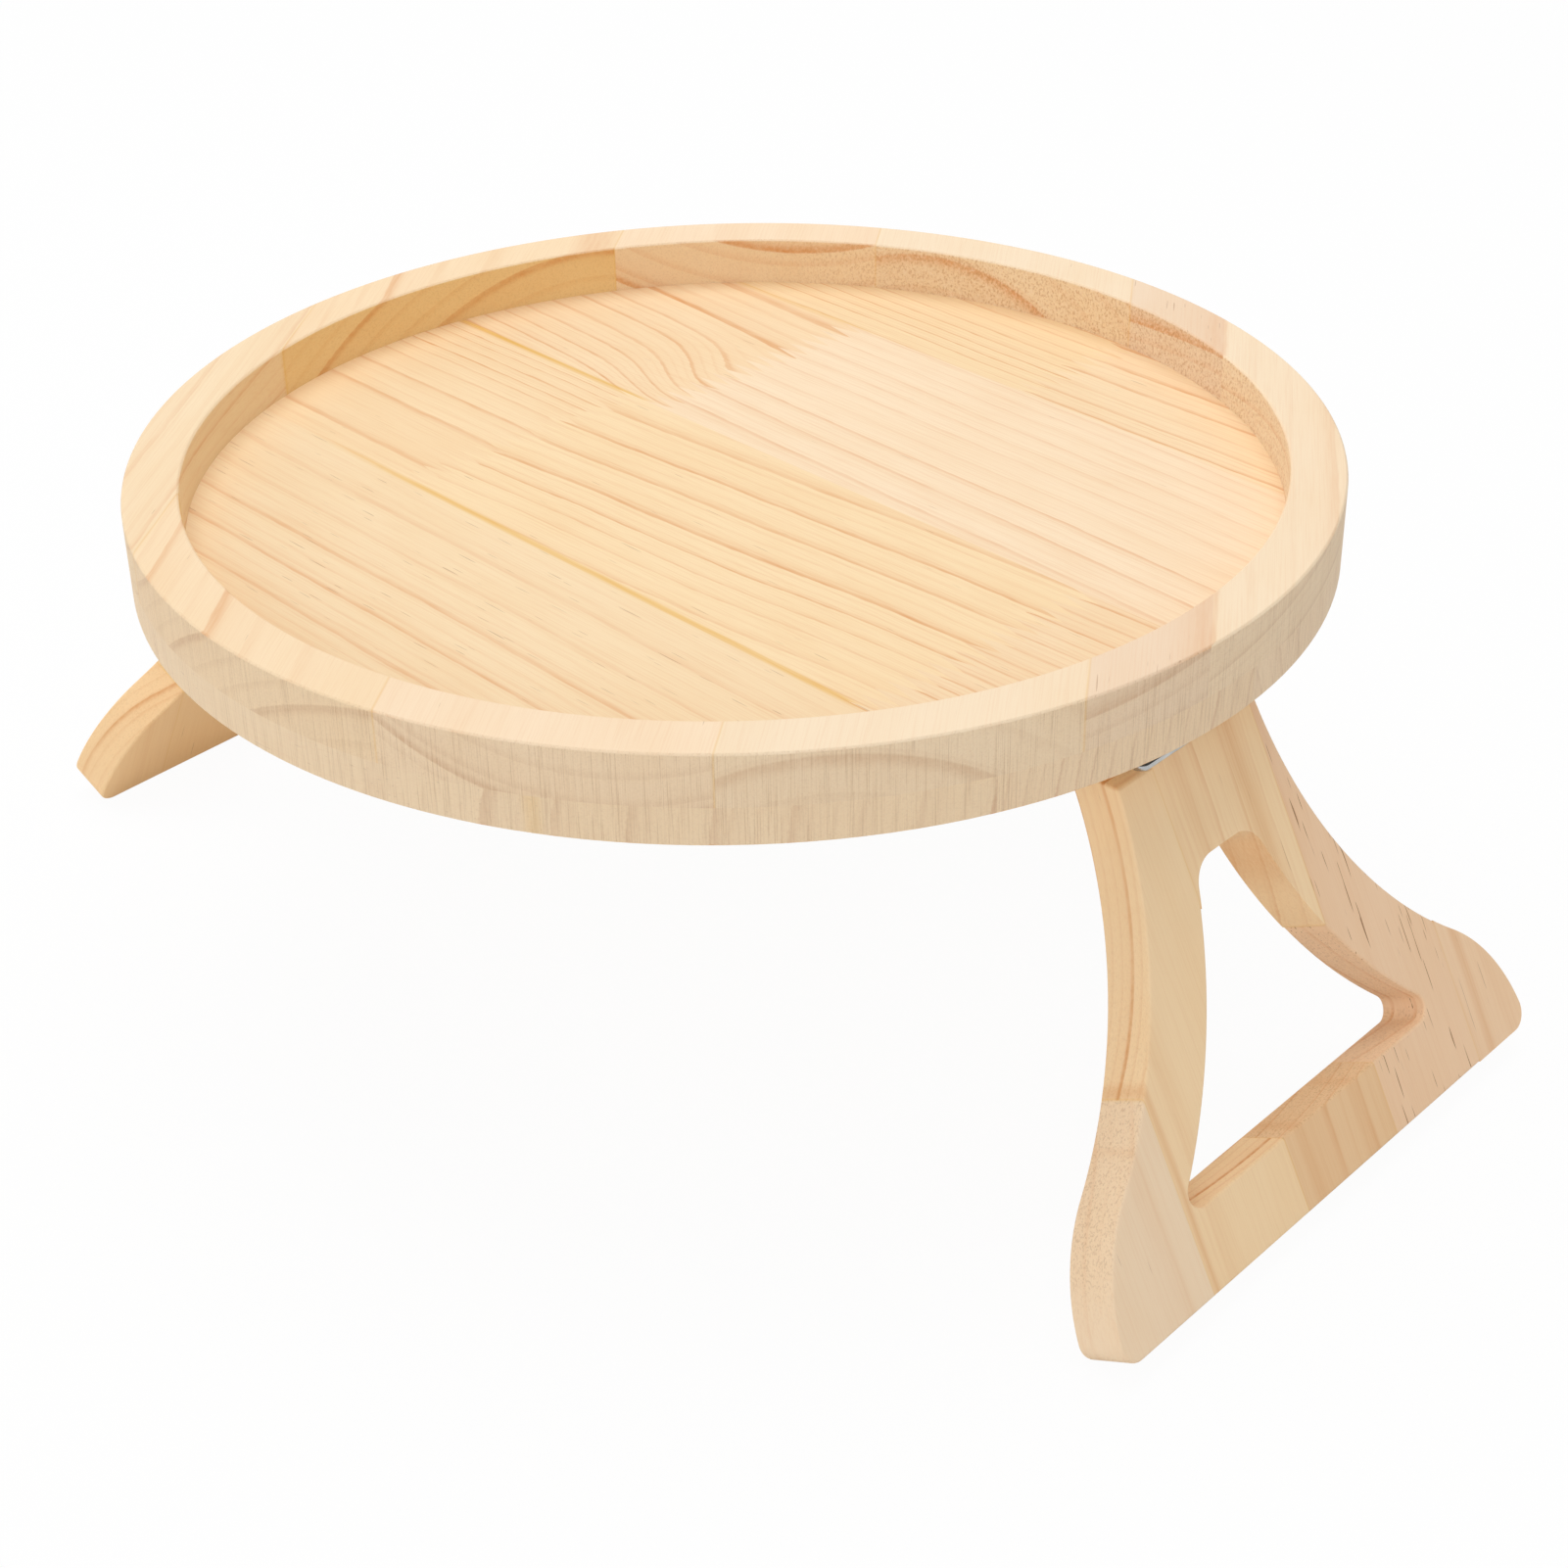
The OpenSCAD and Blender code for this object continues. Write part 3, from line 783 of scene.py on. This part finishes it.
# %% [markdown]
# ## Zinc-plated steel
#
# The hinge plates are stamped from sheet and plated bright. Plating is never quite even: it has a fine
# directionless brushing, small cloudy patches and a few scratches, which show mostly in how it shines.

# %% Make the steel finishes
def steel(name, colour, dull, roughness, brushing=(900, 900, 60)):
    f = Finish(name)
    place = f.place()
    cloud = f.noise(place, scale=180, detail=3.0)
    brush = f.noise(place.scaled(brushing), scale=8.0, detail=3.0, roughness=0.6)
    scratch = f.noise(place.scaled((400, 3000, 900)), scale=2.0, detail=1.0).rise(0.70, 0.78)
    tint = f.mix(cloud.rise(0.3, 0.7), colour, dull)
    tint = f.mix(scratch * 0.3, tint, rgb("8c8c8a"))
    height = brush * 0.5 - scratch * 0.6
    bump = f.node("ShaderNodeBump", None, {"Strength": 0.35, "Distance": 0.02 * MM, "Height": height})
    rough = roughness + cloud * 0.10 + brush * 0.08
    return f.set(base_color=tint, metallic=1.0, roughness=rough, normal=bump)


zinc = steel("hinge_zinc", rgb("d4d6d6"), rgb("b9bcbd"), 0.24)
wire = steel("spring_wire", rgb("9a9b9c"), rgb("7d7e80"), 0.26, (60, 900, 900))
screw_zinc = steel("screw_zinc", rgb("cfcfca"), rgb("b4b2aa"), 0.22)
print("steel finishes:", zinc.name, wire.name, screw_zinc.name)

# %% [markdown]
# ## Hinge plates and pins
#
# The bracket under the tray and the leaf on the leg are small stampings. Punching rounds one side of the edge
# a little, so every edge gets a fine bevel that catches the light.

# %% Build the hinge plates and pins
PLATE_EASE = 0.12 * MM


def none_glued(edge):
    return False


for side in SIDES:
    for part, body in (("hinge_bracket", "tray"), ("hinge_leaf", f"{side}_leg"), ("hinge_pin", "tray")):
        node = f"{side}_{part}"
        shape = merged_copy(node)
        eased = ease(shape, PLATE_EASE, none_glued, sharper_than=35, segments=2)
        plate = piece(f"{node}_steel", shape, zinc, body, node)
        print(plate.name, "faces", len(plate.data.polygons), "eased edges", eased)

# %% [markdown]
# ## Screws
#
# Each plate is held by three small countersunk screws, and a head is a cone whose flat top has a cross punched
# into it. The cross is cut out of the top's own face: a smaller disc is inset, four cuts divide it into nine
# cells, and the five cells of the cross are extruded inwards as one and drawn together at the bottom.

# %% Build the screws
SCREW_EASE = 0.08 * MM
CROSS_BAR = 0.55 * MM
CROSS_DEEP = 0.7 * MM
CROSS_INSET = 0.42  # of the head's radius
CROSS_TAPER = 0.8


def punch_cross(shape, face, bar, deep):
    """Sinks a cross into one flat round face. bar is the width of its arms."""
    normal, middle = face.normal.copy(), face.calc_center_median()
    arm = normal.orthogonal().normalized()
    arms = (arm, normal.cross(arm))
    radius = math.sqrt(face.calc_area() / math.pi)
    bmesh.ops.inset_region(shape, faces=[face], thickness=radius * CROSS_INSET)
    cells = [face]
    for way in arms:
        for off in (-bar / 2, bar / 2):
            geom = set(cells) | {e for c in cells for e in c.edges} | {v for c in cells for v in c.verts}
            cut = bmesh.ops.bisect_plane(shape, geom=list(geom), plane_co=middle + way * off, plane_no=way)
            cells = [g for g in cut["geom"] if isinstance(g, bmesh.types.BMFace)]
    cross = [c for c in cells if any(abs((c.calc_center_median() - middle).dot(way)) < bar / 2 for way in arms)]
    sunk = bmesh.ops.extrude_face_region(shape, geom=cross)["geom"]
    bmesh.ops.delete(shape, geom=cross, context="FACES_ONLY")
    verts = [g for g in sunk if isinstance(g, bmesh.types.BMVert)]
    bmesh.ops.translate(shape, verts=verts, vec=normal * -deep)
    bottom = Matrix.Translation(-(middle - normal * deep))
    bmesh.ops.scale(shape, verts=verts, vec=(CROSS_TAPER, CROSS_TAPER, CROSS_TAPER), space=bottom)
    return len(cross)


for side in SIDES:
    for part, body in (("tray_screws", "tray"), ("leg_screws", f"{side}_leg")):
        node = f"{side}_{part}"
        shape = merged_copy(node)
        ease(shape, SCREW_EASE, none_glued, sharper_than=35, segments=2)
        # The three largest round faces are the tops of the three heads
        discs = [face for face in shape.faces if len(face.verts) > 12]
        discs.sort(key=lambda face: -face.calc_area())
        arms = [punch_cross(shape, face, CROSS_BAR, CROSS_DEEP) for face in discs[:3]]
        made = piece(f"{node}_steel", shape, screw_zinc, body, node)
        print(made.name, "faces", len(made.data.polygons), "cells in each cross", arms)

# %% [markdown] ## Springs  A torsion spring is one wire: a straight arm under the tray's plate, a row of
# curls round the pin, and a second arm on the leg's plate. A ring of points is spun and shifted at once,
# which draws the helix in one operation, and the arms are its two ends drawn out.

# %% Build the springs
WIRE = 1.2 * MM
CURL_R = 2.6 * MM
CURLS = 11.5
SPRING_Y = 13.3 * MM
ARM = 9.0 * MM
ARM_DROP = 3.2 * MM
CURL_STEPS = 40
WIRE_SIDES = 14


def spring_shape():
    """The right spring, round its own pin at the origin."""
    shape = bmesh.new()
    ring = bmesh.ops.create_circle(shape, cap_ends=False, segments=WIRE_SIDES, radius=WIRE / 2)["verts"]
    start = Matrix.Translation((0, -SPRING_Y, CURL_R)) @ Matrix.Rotation(math.pi / 2, 4, "Y")
    bmesh.ops.transform(shape, verts=ring, matrix=start)
    first = list(shape.edges)
    steps = int(CURLS * CURL_STEPS)
    # A negative turn about +Y takes the wire from above the pin towards -X
    spun = bmesh.ops.spin(shape, geom=first, cent=(0, 0, 0), axis=(0, -1, 0), angle=CURLS * 2 * math.pi,
                          steps=steps, dvec=(0, 2 * SPRING_Y / steps, 0))
    last = [g for g in spun["geom_last"] if isinstance(g, bmesh.types.BMEdge)]
    for edges, y, z, bend in ((first, -SPRING_Y, ARM_DROP, CURL_R), (last, SPRING_Y, -ARM_DROP, -CURL_R)):
        for x, height in ((WIRE * 1.2, bend + (z - bend) * 0.25), (WIRE * 2.4, z), (ARM, z)):
            out = bmesh.ops.extrude_edge_only(shape, edges=edges)["geom"]
            verts = [g for g in out if isinstance(g, bmesh.types.BMVert)]
            edges = [g for g in out if isinstance(g, bmesh.types.BMEdge)]
            middle = sum((v.co for v in verts), Vector()) / len(verts)
            bmesh.ops.translate(shape, verts=verts, vec=Vector((x, y, height)) - middle)
        bmesh.ops.contextual_create(shape, geom=edges)
    bmesh.ops.recalc_face_normals(shape, faces=shape.faces)
    return shape


for side, way in SIDES.items():
    node = f"{side}_hinge_spring"
    shape = spring_shape()
    turn = Matrix.Rotation(0 if way == 1 else math.pi, 4, "Z")
    bmesh.ops.transform(shape, verts=shape.verts, matrix=Matrix.Translation((way * pin.x, 0, pin.z)) @ turn)
    spring = make_object(f"{side}_spring_wire", shape, wire)
    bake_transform(spring)
    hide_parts(node)
    print(spring.name, "faces", len(spring.data.polygons))

# %% [markdown]
# ## The studio
#
# The light is even, as from a large soft box overhead with white cards all round, and a white ground swallows
# all but the contact shadows. Three broad lamps make it. The overhead one hangs above the back left and gives
# the rim its bright top and its quieter walls, a fill beside the camera opens up the front, and a weak low one
# lights the walls that look to the left. The world fills in the rest: it is plain white to the camera and in
# reflections, and dimmer as a light. The ground glows for the camera alone, for the same reason.

# %% Light the scene
LAMP_AIM = Vector((0, 0, 0.1))
SKY_LIGHT = 0.52
GROUND_R = 6.0
GROUND_Z = -0.2 * MM
GROUND_GLOW = 0.95


def lamp(name, at, size, watts):
    data = bpy.data.lights.new(name, "AREA")
    data.shape = "DISK"
    data.size = size
    data.energy = watts
    made = bpy.data.objects.new(name, data)
    bpy.context.scene.collection.objects.link(made)
    turn = (LAMP_AIM - Vector(at)).to_track_quat("-Z", "Y")
    made.matrix_world = Matrix.Translation(at) @ turn.to_matrix().to_4x4()


lamp("overhead", (-0.35, 0.25, 1.7), 1.6, 14.7)
lamp("front_fill", (0.95, -1.52, 0.9), 1.4, 7.1)
lamp("left_fill", (-1.5, -0.87, 0.45), 1.2, 4.6)

world = bpy.data.worlds.new("studio")
bpy.context.scene.world = world
sky = Graph(world, "ShaderNodeOutputWorld")
seen = sky.ray("Is Camera Ray").math("MAXIMUM", sky.ray("Is Glossy Ray"))
strength = seen * (1 - SKY_LIGHT) + SKY_LIGHT
sky.put(sky.surface, sky.node("ShaderNodeBackground", None, {"Color": (1, 1, 1, 1), "Strength": strength}))

paper = Finish("white_ground")
paper.set(base_color=(0.9, 0.9, 0.9, 1), roughness=0.9, specular_ior_level=0.0)
glow = paper.node("ShaderNodeEmission", None, {"Color": (1, 1, 1, 1), "Strength": 1.0})
amount = paper.ray("Is Camera Ray") * GROUND_GLOW
paper.put(paper.surface, paper.node("ShaderNodeMixShader", None, {0: amount, 1: paper.shaded, 2: glow}))

ground_shape = bmesh.new()
bmesh.ops.create_circle(ground_shape, cap_ends=True, segments=96, radius=GROUND_R)
floor = make_object("floor", ground_shape, paper.material)
floor.location.z = GROUND_Z

# %% [markdown]
# ## Close
#
